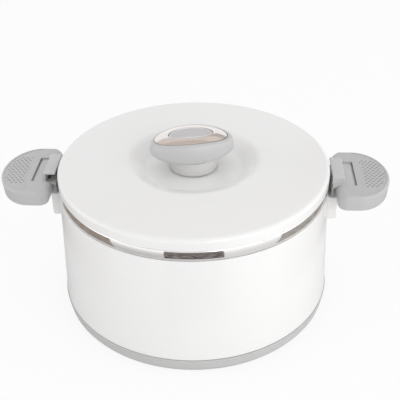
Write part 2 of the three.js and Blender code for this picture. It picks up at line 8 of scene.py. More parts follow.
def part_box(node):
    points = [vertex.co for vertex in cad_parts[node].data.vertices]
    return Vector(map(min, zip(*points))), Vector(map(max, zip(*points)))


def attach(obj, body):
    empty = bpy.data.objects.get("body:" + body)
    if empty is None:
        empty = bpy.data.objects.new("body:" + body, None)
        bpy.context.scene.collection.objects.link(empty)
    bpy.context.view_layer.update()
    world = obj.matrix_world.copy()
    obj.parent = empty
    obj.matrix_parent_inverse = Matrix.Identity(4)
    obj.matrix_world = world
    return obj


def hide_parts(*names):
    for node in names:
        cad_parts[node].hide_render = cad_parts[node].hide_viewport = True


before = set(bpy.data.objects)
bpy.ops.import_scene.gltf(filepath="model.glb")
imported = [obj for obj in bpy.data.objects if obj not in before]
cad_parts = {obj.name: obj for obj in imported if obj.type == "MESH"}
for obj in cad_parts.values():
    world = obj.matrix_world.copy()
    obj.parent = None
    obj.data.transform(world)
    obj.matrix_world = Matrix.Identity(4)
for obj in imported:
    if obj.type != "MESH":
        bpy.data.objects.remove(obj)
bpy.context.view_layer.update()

# Camera: the photograph was taken from in front of the bowl and a little to its
# right, looking down by a third of a right angle, with a moderately long lens.
CAMERA_DISTANCE = 0.6162
CAMERA_DOWN = math.radians(33.13)
CAMERA_TURN = math.radians(3.46)
CAMERA_ROLL = math.radians(-0.99)
CAMERA_TARGET = Vector((0.00451, 0, 0.08338))
CAMERA_LENS = 69.19
CAMERA_SENSOR = 36

lens = bpy.data.cameras.new("camera")
lens.lens = CAMERA_LENS
lens.sensor_width = CAMERA_SENSOR
camera = bpy.data.objects.new("camera", lens)
bpy.context.scene.collection.objects.link(camera)
bpy.context.scene.camera = camera
camera_back = Vector((0, -math.cos(CAMERA_DOWN), math.sin(CAMERA_DOWN)))
camera.matrix_world = (
    Matrix.Rotation(CAMERA_TURN, 4, "Z")
    @ Matrix.Translation(CAMERA_TARGET + CAMERA_DISTANCE * camera_back)
    @ Matrix.Rotation(math.pi / 2 - CAMERA_DOWN, 4, "X")
    @ Matrix.Rotation(CAMERA_ROLL, 4, "Z")
)

# Base cap: a dish of light grey polypropylene that closes the wall from below.
# It stands on a ring-shaped foot and snaps into the wall with the ring inside.
MM = 0.001
ROUND_SIDES = 192
SHARP = math.radians(32)

BASE_HEIGHT = 12.8
BASE_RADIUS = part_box("base_cap")[1].x / MM
BASE_WALL = 2.4
FOOT_RADIUS = BASE_RADIUS - 4.1
FOOT_INNER = FOOT_RADIUS - 5.5
FOOT_HEIGHT = 2.6
SNAP_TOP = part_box("base_cap")[1].z / MM
SNAP_RADIUS = 105.1
PLUG_HOLE_RADIUS = 7


class Value:
    """An output in a material's nodes, on which arithmetic adds Math nodes."""

    def __init__(self, tree, socket=None):
        self.tree = tree
        self.socket = socket

    def node(self, kind, settings=(), sockets=(), output=0):
        """A node of this kind in the same tree, with settings made before its sockets."""
        made = self.tree.nodes.new("ShaderNode" + kind)
        for name, setting in dict(settings).items():
            setattr(made, name, setting)
        for name, value in dict(sockets).items():
            socket = made.inputs[name]
            if isinstance(value, Value):
                self.tree.links.new(value.socket, socket)
            else:
                socket.default_value = value
        return Value(self.tree, made.outputs[output])

    def math(self, operation, first, second=0.0):
        return self.node("Math", {"operation": operation}, {0: first, 1: second})

    def __add__(self, other):
        return self.math("ADD", self, other)

    def __sub__(self, other):
        return self.math("SUBTRACT", self, other)

    def __mul__(self, other):
        return self.math("MULTIPLY", self, other)

    def __rsub__(self, other):
        return self.math("SUBTRACT", other, self)

    __radd__ = __add__
    __rmul__ = __mul__

    def above(self, edge, softness):
        """0 below the edge and 1 over it, with a soft step between."""
        span = {"From Min": edge - softness, "From Max": edge + softness}
        return self.node("MapRange", {"interpolation_type": "SMOOTHSTEP"}, {"Value": self, **span})

    def noise(self, size, detail=2.0):
        """Noise from 0 to 1 whose lumps are about size millimetres wide."""
        return self.node("TexNoise", (), {"Vector": self, "Scale": 1 / (size * MM), "Detail": detail})

    def mix(self, first, second):
        """The first colour where this value is 0, and the second where it is 1."""
        return self.node("Mix", {"data_type": "RGBA"}, {0: self, 6: (*first, 1), 7: (*second, 1)}, 2)

    def bump(self, depth, strength=1.0):
        """A normal for a surface that this value raises by up to depth millimetres."""
        return self.node("Bump", (), {"Strength": strength, "Distance": depth * MM, "Height": self})


def material(name, color, roughness, metallic=0.0):
    """A plain material, the place on the piece, and a function that feeds one of the shader's sockets."""
    made = bpy.data.materials.new(name)
    made.use_nodes = True
    shader = made.node_tree.nodes["Principled BSDF"]
    shader.inputs["Base Color"].default_value = (*color, 1)
    shader.inputs["Roughness"].default_value = roughness
    shader.inputs["Metallic"].default_value = metallic
    place = Value(made.node_tree).node("TexCoord", output="Object")

    def feed(socket, value):
        made.node_tree.links.new(value.socket, shader.inputs[socket])

    return made, place, feed


def moulded(name, color, roughness, grain=0.5, depth=0.01, mottle=0.03):
    """Moulded plastic: a fine grain from the mould, faint flow marks and slightly uneven gloss."""
    made, place, feed = material(name, color, roughness)
    flow = place.noise(22, 3)
    speck = place.noise(0.9, 1)
    darker = [channel * (1 - mottle) for channel in color]
    lighter = [min(1, channel * (1 + mottle)) for channel in color]
    feed("Base Color", (flow * 0.75 + speck * 0.25).mix(darker, lighter))
    feed("Roughness", roughness - 0.03 + place.noise(35, 1) * 0.06)
    feed("Normal", place.noise(grain, 1).bump(depth))
    return made


def link_piece(name, mesh, finish, body, slot, *nodes):
    """A smooth-shaded piece, made in millimetres, that rides on a body and stands for CAD nodes."""
    mesh.transform(Matrix.Scale(MM, 4))
    piece = bpy.data.objects.new(name, mesh)
    bpy.context.scene.collection.objects.link(piece)
    mesh.materials.clear()
    mesh.materials.append(finish)
    mesh.shade_smooth()
    mesh.set_sharp_from_angle(angle=SHARP)
    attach(piece, body)
    if nodes:
        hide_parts(*nodes)
    return piece


def mesh_of(points, faces):
    """A mesh of points and faces."""
    mesh = bpy.data.meshes.new("mesh")
    mesh.from_pydata([Vector(point) for point in points], [], faces)
    mesh.update()
    return mesh


def rounded(corners, step=math.radians(9)):
    """A closed outline whose corners are (x, y) or (x, y, rounding), with the corners rounded."""
    points = []
    for i, (x, y, *rounding) in enumerate(corners):
        corner = Vector((x, y))
        if not rounding:
            points.append(corner)
            continue
        back = Vector(corners[i - 1][:2]) - corner
        ahead = Vector(corners[(i + 1) % len(corners)][:2]) - corner
        half = back.angle(ahead) / 2
        reach = min(rounding[0] / math.tan(half), 0.49 * back.length, 0.49 * ahead.length)
        radius = reach * math.tan(half)
        middle = corner + (back.normalized() + ahead.normalized()).normalized() * (radius / math.sin(half))
        start = corner + back.normalized() * reach - middle
        turn = (corner + ahead.normalized() * reach - middle).angle_signed(start)
        count = max(2, math.ceil(abs(turn) / step))
        points += [middle + Matrix.Rotation(turn * k / count, 2) @ start for k in range(count + 1)]
    return points


def turned(profile, sides=ROUND_SIDES):
    """A profile of (radius, height), anticlockwise, turned round the Z axis."""
    points, rings, faces = [], [], []
    for radius, height in profile:
        count = sides if radius > 1e-6 else 1
        rings.append([len(points) + k for k in range(count)])
        for k in range(count):
            angle = 2 * math.pi * k / sides
            points.append((radius * math.cos(angle), radius * math.sin(angle), height))
    for first, second in zip(rings, rings[1:] + rings[:1]):
        for k in range(sides):
            a, b = first[k % len(first)], first[(k + 1) % sides % len(first)]
            c, d = second[(k + 1) % sides % len(second)], second[k % len(second)]
            corners = list(dict.fromkeys((a, b, c, d)))
            if len(corners) > 2:
                faces.append(corners)
    return mesh_of(points, faces)


def box(low, high):
    """A plain box, as a cutter or a start for rounding."""
    points = [(x, y, z) for x in (low[0], high[0]) for y in (low[1], high[1]) for z in (low[2], high[2])]
    faces = [(0, 1, 3, 2), (4, 6, 7, 5), (0, 4, 5, 1), (2, 3, 7, 6), (0, 2, 6, 4), (1, 5, 7, 3)]
    return mesh_of(points, faces)


def applied(mesh, kind, **settings):
    """The mesh after one modifier."""
    piece = bpy.data.objects.new("shape", mesh)
    bpy.context.scene.collection.objects.link(piece)
    modifier = piece.modifiers.new("shape", kind)
    for name, value in settings.items():
        setattr(modifier, name, value)
    graph = bpy.context.evaluated_depsgraph_get()
    made = bpy.data.meshes.new_from_object(piece.evaluated_get(graph))
    bpy.data.objects.remove(piece)
    return made


def cut(mesh, other, operation="DIFFERENCE"):
    """The mesh cut by another one, or joined with it."""
    tool = bpy.data.objects.new("tool", other)
    bpy.context.scene.collection.objects.link(tool)
    made = applied(mesh, "BOOLEAN", object=tool, operation=operation, solver="MANIFOLD")
    bpy.data.objects.remove(tool)
    return made


def merged(*meshes):
    """Several meshes that don't touch, as one."""
    joined = bmesh.new()
    for mesh in meshes:
        joined.from_mesh(mesh)
    made = bpy.data.meshes.new("mesh")
    joined.to_mesh(made)
    joined.free()
    return made


base_profile = rounded([
    (PLUG_HOLE_RADIUS, FOOT_HEIGHT),
    (FOOT_INNER - FOOT_HEIGHT, FOOT_HEIGHT, 1),
    (FOOT_INNER, 0, 0.5),
    (FOOT_RADIUS, 0, 3),
    (BASE_RADIUS - 1.4, 4, 3),
    (BASE_RADIUS, BASE_HEIGHT, 0.4),
    (SNAP_RADIUS, BASE_HEIGHT),
    (SNAP_RADIUS, SNAP_TOP, 0.6),
    (SNAP_RADIUS - BASE_WALL, SNAP_TOP, 0.6),
    (SNAP_RADIUS - BASE_WALL, FOOT_HEIGHT + BASE_WALL, 1.5),
    (PLUG_HOLE_RADIUS, FOOT_HEIGHT + BASE_WALL),
])
base_grey = moulded("base grey plastic", (0.53, 0.528, 0.525), 0.42)
link_piece("base_dish", turned(base_profile), base_grey, "base", "grey_plastic", "base_cap")

# Filling plug: the foam goes in through a hole in the middle of the base, which a
# plug with a thin flange then closes. It is the same grey plastic.
FLANGE_RADIUS = 9.5
FLANGE_BOTTOM = 1.3
FLANGE_TOP = 2.3
PLUG_RADIUS = 6.7
PLUG_END = 5
PLUG_SIDES = 96

plug_profile = rounded([
    (0, FLANGE_BOTTOM),
    (FLANGE_RADIUS, FLANGE_BOTTOM, 0.4),
    (FLANGE_RADIUS, FLANGE_TOP),
    (PLUG_RADIUS, FLANGE_TOP),
    (PLUG_RADIUS, PLUG_END, 0.5),
    (0, PLUG_END),
])
filling_plug = turned(plug_profile, PLUG_SIDES)
link_piece("filling_plug", filling_plug, base_grey, "base", "grey_plastic", "base_plug")

# Wall: white gloss plastic that flares a little to the base. The steel's rim hooks
# over the collar at its top, and a hollow boss on each side carries a hinge.
WALL_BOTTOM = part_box("outer_shell")[0].z / MM
COLLAR_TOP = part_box("outer_shell")[1].z / MM
WALL_TOP = 101.6
WALL = 2.4
WALL_BOTTOM_RADIUS = 108.1
WALL_TOP_RADIUS = 104.7
COLLAR_RADIUS = 102.6
BOSS_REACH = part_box("outer_shell")[1].x / MM
BOSS_HALF_WIDTH = 14.7
BOSS_TOP = 97.9
BOSS_BOTTOM = BOSS_TOP - 22
BOSS_WALL = 2
BOSS_CEILING = BOSS_TOP - 2.8
BOSS_CORNER = 4.5
BOSS_EDGE = 1.1


def extruded(outline, low, high, axis="X"):
    """An outline of the two other axes, in their order, extruded along an axis."""
    count = len(outline)
    order = {
        "X": lambda a, b, t: (t, a, b),
        "Y": lambda a, b, t: (a, t, b),
        "Z": lambda a, b, t: (a, b, t),
    }[axis]
    points = [order(a, b, t) for t in (low, high) for a, b in outline]
    faces = [(k, (k + 1) % count, count + (k + 1) % count, count + k) for k in range(count)]
    faces += [tuple(range(count))[::-1], tuple(range(count, 2 * count))]
    mesh = mesh_of(points, faces)
    shape = bmesh.new()
    shape.from_mesh(mesh)
    bmesh.ops.recalc_face_normals(shape, faces=shape.faces)
    shape.to_mesh(mesh)
    shape.free()
    return mesh


def half_turned(mesh):
    """A copy of the mesh, turned half round the Z axis."""
    copy = mesh.copy()
    copy.transform(Matrix.Rotation(math.pi, 4, "Z"))
    return copy


wall_inside = [
    (COLLAR_RADIUS - WALL, WALL_TOP),
    (WALL_TOP_RADIUS - WALL, WALL_TOP - 4),
    (WALL_BOTTOM_RADIUS - WALL, WALL_BOTTOM),
]
wall_profile = rounded([
    (WALL_BOTTOM_RADIUS, WALL_BOTTOM, 0.5),
    (WALL_TOP_RADIUS, WALL_TOP, 0.4),
    (COLLAR_RADIUS, WALL_TOP),
    (COLLAR_RADIUS, COLLAR_TOP, 0.8),
    (COLLAR_RADIUS - WALL, COLLAR_TOP, 0.8),
    *wall_inside,
])
boss_outline = rounded([
    (-BOSS_HALF_WIDTH, BOSS_TOP),
    (-BOSS_HALF_WIDTH, BOSS_BOTTOM, BOSS_CORNER),
    (BOSS_HALF_WIDTH, BOSS_BOTTOM, BOSS_CORNER),
    (BOSS_HALF_WIDTH, BOSS_TOP),
], math.radians(7))
boss = extruded(boss_outline, WALL_TOP_RADIUS - 4, BOSS_REACH)
boss = applied(boss, "BEVEL", width=BOSS_EDGE, segments=4, limit_method="ANGLE", angle_limit=math.radians(50))
hollow_half = BOSS_HALF_WIDTH - BOSS_WALL
boss = cut(boss, box((90, -hollow_half, 60), (BOSS_REACH - BOSS_WALL, hollow_half, BOSS_CEILING)))
inside_of_wall = turned([(0, WALL_BOTTOM), *reversed(wall_inside), (0, WALL_TOP)])
boss = cut(boss, inside_of_wall)
wall = cut(turned(wall_profile), boss, "UNION")
wall = cut(wall, half_turned(boss), "UNION")
gloss_white = moulded("gloss white plastic", (0.84, 0.836, 0.832), 0.2, grain=6, depth=0.004, mottle=0.006)
link_piece("wall", wall, gloss_white, "base", "white_plastic", "outer_shell")

# Steel bowl: pressed and spun from one sheet of stainless steel. Its rim is turned
# out and down over the wall's collar, and shows as a polished band.
RIM_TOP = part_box("inner_bowl")[1].z / MM
RIM_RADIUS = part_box("inner_bowl")[1].x / MM
BOWL_RADIUS = RIM_RADIUS - 11.2
BOWL_FLOOR = 31
BOWL_FLOOR_RADIUS = BOWL_RADIUS - 4.8
BOWL_CORNER = 25
STEEL = 0.8
RIM_CORNER = 1.4
RIM_BULGE = 0.45
RIM_BOTTOM = WALL_TOP + 0.6
POLISHED_ABOVE = 100
FINE_SIDES = 256


def skin(path, thickness):
    """The closed profile of a sheet that lies to the right of an open path."""
    other = []
    for i, point in enumerate(path):
        into = (Vector(path[max(i, 1)]) - Vector(path[max(i, 1) - 1])).normalized()
        ahead = min(i + 1, len(path) - 1)
        out = (Vector(path[ahead]) - Vector(path[ahead - 1])).normalized()
        right = Vector((into.y + out.y, -into.x - out.x)).normalized()
        other.append(Vector(point) + right * thickness / (right.x * into.y - right.y * into.x))
    return [*path, *reversed(other)]


def open_path(corners, step=math.radians(9)):
    """An open outline with rounded corners."""
    (x, y, *_), (u, v, *_) = corners[0], corners[-1]
    return rounded([(x, y), *corners[1:-1], (u, v)], step)


rim_middle = (RIM_TOP + RIM_BOTTOM) / 2
rim_heights = [RIM_TOP - RIM_CORNER + (RIM_BOTTOM - RIM_TOP + RIM_CORNER) * k / 12 for k in range(13)]
steel_path = open_path([
    (0, BOWL_FLOOR),
    (BOWL_FLOOR_RADIUS, BOWL_FLOOR, BOWL_CORNER),
    (BOWL_RADIUS, RIM_TOP, RIM_CORNER),
    (RIM_RADIUS - RIM_BULGE, RIM_TOP, RIM_CORNER),
    *[(RIM_RADIUS - RIM_BULGE * ((z - rim_middle) / (RIM_TOP - rim_middle)) ** 2, z) for z in rim_heights],
], math.radians(6))
steel_profile = skin(steel_path, STEEL)
steel_profile[0].x = steel_profile[-1].x = 0
steel_finish, place, feed = material("polished steel", (0.95, 0.94, 0.925), 0.1, 1.0)
flat_place = place.node("VectorMath", {"operation": "MULTIPLY"}, {0: place, 1: (1, 1, 0)})
radius = place.node("VectorMath", {"operation": "LENGTH"}, {0: flat_place}, "Value")
height = place.node("SeparateXYZ", (), {"Vector": place}, "Z")
ring_noise = {"W": radius + height, "Scale": 2600.0, "Detail": 3.0}
rings = place.node("TexNoise", {"noise_dimensions": "1D"}, ring_noise)
spun = 1 - height.above(POLISHED_ABOVE * MM, 4 * MM)
feed("Roughness", 0.03 + rings * 0.03 + spun * 0.18 + place.noise(9, 1) * 0.03)
feed("Base Color", place.noise(14, 2).mix((0.94, 0.925, 0.91), (0.97, 0.96, 0.95)))
feed("Normal", (rings * (0.3 + spun)).bump(0.003))
steel_bowl = turned(steel_profile[::-1], FINE_SIDES)
link_piece("steel_bowl", steel_bowl, steel_finish, "base", "polished_steel", "inner_bowl")

# Foam: it fills the wall and the lid. It is poured in and sets there, so it keeps
# the shape of its moulds, with fine open cells on its skin.
foam, place, feed = material("rigid foam", (0.78, 0.68, 0.42), 0.9)
cells = place.node("TexVoronoi", (), {"Vector": place, "Scale": 1 / (1.1 * MM)})
feed("Base Color", (place.noise(6, 4) * 0.6 + cells * 0.4).mix((0.84, 0.75, 0.5), (0.7, 0.58, 0.32)))
feed("Normal", cells.bump(0.2, 0.8))


def painted(node, finish):
    """A CAD node that keeps its shape gets a finish."""
    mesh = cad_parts[node].data
    mesh.materials.clear()
    mesh.materials.append(finish)


painted("body_insulation", foam)
painted("lid_insulation", foam)

# Lid cover: the same gloss white plastic, with a skirt, a rounded shoulder, a
# gently domed top and a dished well round the knob, all moulded in one.
LID_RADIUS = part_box("lid_cover")[1].x / MM
SKIRT_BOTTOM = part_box("lid_cover")[0].z / MM
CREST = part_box("lid_cover")[1].z / MM
SHOULDER = SKIRT_BOTTOM + 9.8
WELL_FLOOR = CREST - 7
WELL_FLOOR_RADIUS = 38
CREST_RADIUS = 50.5
LID_WALL = 2.3
SKIRT_EDGE = 1.7
SKIRT_INNER_EDGE = 0.3
HOLE_RADIUS = 2.7

cover_path = open_path([
    (HOLE_RADIUS, WELL_FLOOR),
    (WELL_FLOOR_RADIUS, WELL_FLOOR, 12),
    (CREST_RADIUS, CREST, 11),
    (LID_RADIUS, SHOULDER, 3.4),
    (LID_RADIUS, SKIRT_BOTTOM),
], math.radians(4))
cover_profile = [tuple(p) for p in skin(cover_path, LID_WALL)]
cover_profile[len(cover_path) - 1] += (SKIRT_EDGE,)
cover_profile[len(cover_path)] += (SKIRT_INNER_EDGE,)
lid_cover = turned(rounded(cover_profile)[::-1], FINE_SIDES)
link_piece("lid_cover_moulding", lid_cover, gloss_white, "lid", "white_plastic", "lid_cover")

# Lid liner and seal: under the cover is a liner of the same white plastic, whose
# shallow plug hangs into the bowl, with a soft-lipped band of silicone round it.
LINER_FLANGE = SKIRT_BOTTOM + 0.3
LINER_WALL = 1.8
PLUG_TOP_RADIUS = BOWL_RADIUS - 2.6
LINER_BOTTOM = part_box("lid_liner")[0].z / MM
SEAL_LOW, SEAL_HIGH = (corner.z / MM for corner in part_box("lid_seal"))
SEAL_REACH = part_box("lid_seal")[1].x / MM
SEAL_BAND = 0.9

liner_path = open_path([
    (LID_RADIUS - LID_WALL - 0.3, LINER_FLANGE),
    (PLUG_TOP_RADIUS, LINER_FLANGE, 0.8),
    (PLUG_TOP_RADIUS - 1.4, LINER_BOTTOM, 6),
    (0, LINER_BOTTOM),
])
liner_profile = skin(liner_path, LINER_WALL)
liner_profile[len(liner_path) - 1].x = liner_profile[len(liner_path)].x = 0
lid_liner = turned(liner_profile[::-1], FINE_SIDES)
link_piece("lid_liner_moulding", lid_liner, gloss_white, "lid", "white_plastic", "lid_liner")

seal_inner = PLUG_TOP_RADIUS + 0.3
seal_middle = (SEAL_LOW + SEAL_HIGH) / 2
seal_profile = rounded([
    (seal_inner, SEAL_LOW),
    (seal_inner + SEAL_BAND, SEAL_LOW, 0.3),
    (seal_inner + SEAL_BAND, seal_middle - 1, 0.4),
    (SEAL_REACH, seal_middle, 0.3),
    (seal_inner + SEAL_BAND, seal_middle + 1, 0.4),
    (seal_inner + SEAL_BAND, SEAL_HIGH, 0.3),
    (seal_inner, SEAL_HIGH),
])
silicone = moulded("silicone", (0.72, 0.72, 0.7), 0.55)
link_piece("lid_seal_band", turned(seal_profile, FINE_SIDES), silicone, "lid", "silicone", "lid_seal")

# Knob: a round stem under an oval grip of grey plastic, which carries a bright
# plated plate, bent down to its tips. The inlay in it, with a bead round its edge
# painted paler as a highlight, hides the screw.
KNOB_TURN = Matrix.Rotation(math.radians(12), 4, "Z")
KNOB_SIDES = 144
KNOB_FIT = 0.3
STEM_RADIUS = 18.5
STEM_LOW, STEM_HIGH = (corner.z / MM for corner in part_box("knob_stem"))
STEM_FOOT_RADIUS = STEM_RADIUS - 3.5
STEM_FOOT_TOP = STEM_LOW + 0.7
GRIP_HEIGHT = 15.5
GRIP_BOTTOM = STEM_HIGH + KNOB_FIT
GRIP_RIM = GRIP_BOTTOM + GRIP_HEIGHT
GRIP_WAIST = GRIP_BOTTOM + 0.29 * GRIP_HEIGHT
GRIP_HALF = (32.7, 20.1)
GRIP_OFFSET = 0.9
SCREW_HEAD_RADIUS = 4.9
SCREW_SEAT = STEM_HIGH + 5.6
TRIM_HALF = (27.75, 15.2)
TRIM_OFFSET = 1.7
TRIM_SAG = 2.6
TRIM_DOME = 1.8
RECESS_HALF = (TRIM_HALF[0] + 0.6, TRIM_HALF[1] + 0.25)
RECESS_OFFSET = 1.45
RECESS_FLOOR = GRIP_RIM - 1.3
INLAY_HALF = (17, 8.2)
INLAY_SAG = 5.2
INLAY_DEPTH = 0.35
BEAD_WIDTH = 1.1
BEAD_ROUND = 0.4


def oval(half_length, half_width, height, offset=TRIM_OFFSET, sag=TRIM_SAG):
    """An oval ring with its middle off the screw and its ends bent down."""
    ring = []
    for k in range(KNOB_SIDES):
        angle = 2 * math.pi * k / KNOB_SIDES
        along = half_length * math.cos(angle)
        drop = sag * (along / TRIM_HALF[0]) ** 2
        ring.append((along - offset, half_width * math.sin(angle), height - drop))
    return ring


def skinned(rings, closed=False):
    """A skin over rings of points, anticlockwise from above, with flat ends or closed on itself."""
    count = len(rings[0])
    faces = []
    for r in range(len(rings) if closed else len(rings) - 1):
        low, high = r * count, (r + 1) % len(rings) * count
        faces += [(low + k, low + (k + 1) % count, high + (k + 1) % count, high + k) for k in range(count)]
    if not closed:
        top = (len(rings) - 1) * count
        faces += [tuple(range(count))[::-1], tuple(range(top, top + count))]
    return mesh_of([point for ring in rings for point in ring], faces)


def smooth_share(keys, count):
    """Points on a smooth curve through the keys, which are pairs of shares."""
    points = []
    ends = [keys[0], *keys, keys[-1]]
    for four in zip(ends, ends[1:], ends[2:], ends[3:]):
        for k in range(count):
            t = k / count
            points.append(tuple(
                0.5 * (2 * q + (r - p) * t + (2 * p - 5 * q + 4 * r - s) * t * t
                       + (3 * q - p - 3 * r + s) * t ** 3)
                for p, q, r, s in zip(*four)))
    return [*points, keys[-1]]


def between(first, second, share):
    """The value at this share of the way from the first to the second."""
    return first + share * (second - first)


def half_between(first, second, share):
    """The half length and half width at this share of the way from one oval to another."""
    return [between(a, b, share) for a, b in zip(first, second)]


flat_half = (0.64 * GRIP_HALF[0], STEM_RADIUS)
below_waist = [(0, 0), (0.62, 0.2), (0.9, 0.55), (1, 1)]
above_waist = [(0, 0), (0.05, 0.3), (0.17, 0.62), (0.38, 0.87), (0.63, 0.97), (0.97, 1)]
grip_rings = []
for out, up in smooth_share(below_waist, 6):
    height = between(GRIP_BOTTOM, GRIP_WAIST, up)
    grip_rings.append(oval(*half_between(flat_half, GRIP_HALF, out), height, GRIP_OFFSET, 0))
for inward, up in smooth_share(above_waist, 6)[1:]:
    height = between(GRIP_WAIST, GRIP_RIM, up)
    offset = between(GRIP_OFFSET, RECESS_OFFSET, max(0, inward - 0.6) / 0.4)
    grip_rings.append(oval(*half_between(GRIP_HALF, RECESS_HALF, inward), height, offset, up * TRIM_SAG))
grip_rings += [
    oval(*RECESS_HALF, GRIP_RIM - 0.2, RECESS_OFFSET),
    oval(*RECESS_HALF, RECESS_FLOOR, RECESS_OFFSET),
    oval(SCREW_HEAD_RADIUS, SCREW_HEAD_RADIUS, RECESS_FLOOR, 0, 0),
    oval(SCREW_HEAD_RADIUS, SCREW_HEAD_RADIUS, SCREW_SEAT, 0, 0),
    oval(HOLE_RADIUS, HOLE_RADIUS, SCREW_SEAT, 0, 0),
    oval(HOLE_RADIUS, HOLE_RADIUS, GRIP_BOTTOM, 0, 0),
]
knob_grey = moulded("knob grey plastic", (0.53, 0.525, 0.527), 0.34)
grip = skinned(grip_rings, True)
grip.transform(KNOB_TURN)
link_piece("knob_grip_moulding", grip, knob_grey, "lid", "grey_plastic", "knob_grip")

stem_profile = rounded([
    (HOLE_RADIUS, STEM_LOW),
    (STEM_FOOT_RADIUS, STEM_LOW),
    (STEM_FOOT_RADIUS, STEM_FOOT_TOP),
    (STEM_RADIUS, STEM_FOOT_TOP, 0.15),
    (STEM_RADIUS, STEM_HIGH, 0.5),
    (HOLE_RADIUS, STEM_HIGH),
])
# The stem's grey is a lighter copy of the grip's: painted light that offsets the shade under the grip.
stem_grey_painted_lighter = moulded("stem grey plastic", (0.6, 0.597, 0.594), 0.38)
stem = turned(stem_profile, KNOB_SIDES)
link_piece("knob_stem_moulding", stem, stem_grey_painted_lighter, "lid", "grey_plastic", "knob_stem")

hole_half = [half + KNOB_FIT for half in INLAY_HALF]
trim_low = RECESS_FLOOR + KNOB_FIT
trim_rings = [
    oval(TRIM_HALF[0] - 0.2, TRIM_HALF[1] - 0.2, trim_low),
    oval(*TRIM_HALF, trim_low + 0.2),
]
for inward, up in smooth_share([(0, 0), (0.02, 0.12), (0.3, 0.47), (0.65, 0.82), (0.97, 1)], 8):
    trim_rings.append(oval(*half_between(TRIM_HALF, hole_half, inward), GRIP_RIM + up * TRIM_DOME))
trim_rings += [oval(*hole_half, GRIP_RIM + TRIM_DOME - 0.2), oval(*hole_half, trim_low)]
plated, place, feed = material("plated trim", (0.83, 0.8, 0.775), 0.1, 1.0)
feed("Roughness", 0.07 + place.noise(12, 1) * 0.05)
feed("Base Color", place.noise(11, 2).mix((0.8, 0.765, 0.74), (0.85, 0.825, 0.805)))
feed("Normal", place.noise(4, 2).bump(0.004))
trim = skinned(trim_rings, True)
trim.transform(KNOB_TURN)
link_piece("knob_trim_plate", trim, plated, "lid", "plated_trim", "knob_trim")

bead_top = GRIP_RIM + TRIM_DOME + 0.3
inner_half = [half - BEAD_WIDTH for half in INLAY_HALF]
bead_rings = [oval(*INLAY_HALF, trim_low), oval(*INLAY_HALF, bead_top - BEAD_ROUND, sag=INLAY_SAG)]
for k in range(1, 9):
    angle = math.pi * k / 8
    inset = BEAD_WIDTH * (1 - math.cos(angle)) / 2
    height = bead_top - BEAD_ROUND * (1 - math.sin(angle))
    bead_rings.append(oval(INLAY_HALF[0] - inset, INLAY_HALF[1] - inset, height, sag=INLAY_SAG))
bead_rings.append(oval(*inner_half, trim_low))
bead = skinned(bead_rings, True)
bead.transform(KNOB_TURN)
# The bead's grey is paler than the inlay's: a painted highlight for light caught on the inlay's rounded edge.
bead_grey_painted_highlight = moulded("bead grey plastic", (0.74, 0.735, 0.73), 0.25)
link_piece("knob_inlay_bead", bead, bead_grey_painted_highlight, "lid", "grey_plastic")

inlay_rings = [oval(*inner_half, trim_low)]
for share in (1, 0.8, 0.6, 0.4, 0.2):
    here = [share * half for half in inner_half]
    inlay_rings.append(oval(*here, bead_top - INLAY_DEPTH, sag=INLAY_SAG))
inlay = skinned(inlay_rings)
inlay.transform(KNOB_TURN)
inlay_grey = moulded("inlay grey plastic", (0.54, 0.532, 0.545), 0.42)
link_piece("knob_inlay_moulding", inlay, inlay_grey, "lid", "grey_plastic", "knob_inlay")

# Screws and pins: the knob's screw and nut, the hinge pins and the screws under the
# hinge blocks are plain turned steel, bright where they were cut, dull elsewhere.
plain_steel, place, feed = material("turned steel", (0.6, 0.59, 0.58), 0.35, 1.0)
feed("Roughness", 0.28 + place.noise(3, 3) * 0.16)
feed("Normal", place.noise(0.3, 2).bump(0.01, 0.6))
painted("knob_screw", plain_steel)
painted("knob_nut", plain_steel)
for side in ("right", "left"):
    painted("hinge_pin_" + side, plain_steel)
    for end in ("_front", "_back"):
        painted("hinge_screw_" + side + end, plain_steel)

# Hinge blocks: a block of grey plastic is screwed on each boss from below. Its
# outer half is a barrel round the pin, and its inner half is a raised shelf beside
# the lid, cored out at both ends to keep its walls thin.
HINGE_X = 115
HINGE_Z = 102.2
PIN_HOLE = 2.0
BARREL = 4
BLOCK_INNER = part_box("hinge_block_right")[0].x / MM
BLOCK_BOTTOM = HINGE_Z - BARREL
BLOCK_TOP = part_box("hinge_block_right")[1].z / MM
BLOCK_HALF_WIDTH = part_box("hinge_block_right")[1].y / MM
SHELF = 5.8
SHELF_RAMP = 1.2
SHELF_END = 113.7
SHELF_END_LENGTH = 7
CORE_DEPTH = 2.8
CORE_WALL = 1.2
SCREW_X = 108.2
SCREW_Y = 8
SCREW_HOLE_RADIUS = 1.4
SCREW_HOLE_TOP = 104.1


def bar(radius, low, high, x, y, z, axis="Z", sides=32):
    """A plain round bar along an axis, as a cutter."""
    mesh = turned([(0, low), (radius, low), (radius, high), (0, high)], sides)
    if axis == "Y":
        mesh.transform(Matrix.Rotation(math.pi / 2, 4, "X"))
    mesh.transform(Matrix.Translation((x, y, z)))
    return mesh


def softened(mesh, width, segments=3, angle=40):
    """The mesh with its sharp edges rounded off."""
    return applied(mesh, "BEVEL", width=width, segments=segments, limit_method="ANGLE",
                   angle_limit=math.radians(angle), use_clamp_overlap=True)


def on_both_sides(name, mesh, finish, body, slot, node):
    """The piece on the right, and the same piece turned half round on the left."""
    for side, made in (("right", mesh), ("left", half_turned(mesh))):
        link_piece(name + side, made, finish, body + side if body.endswith("_") else body, slot, node + side)


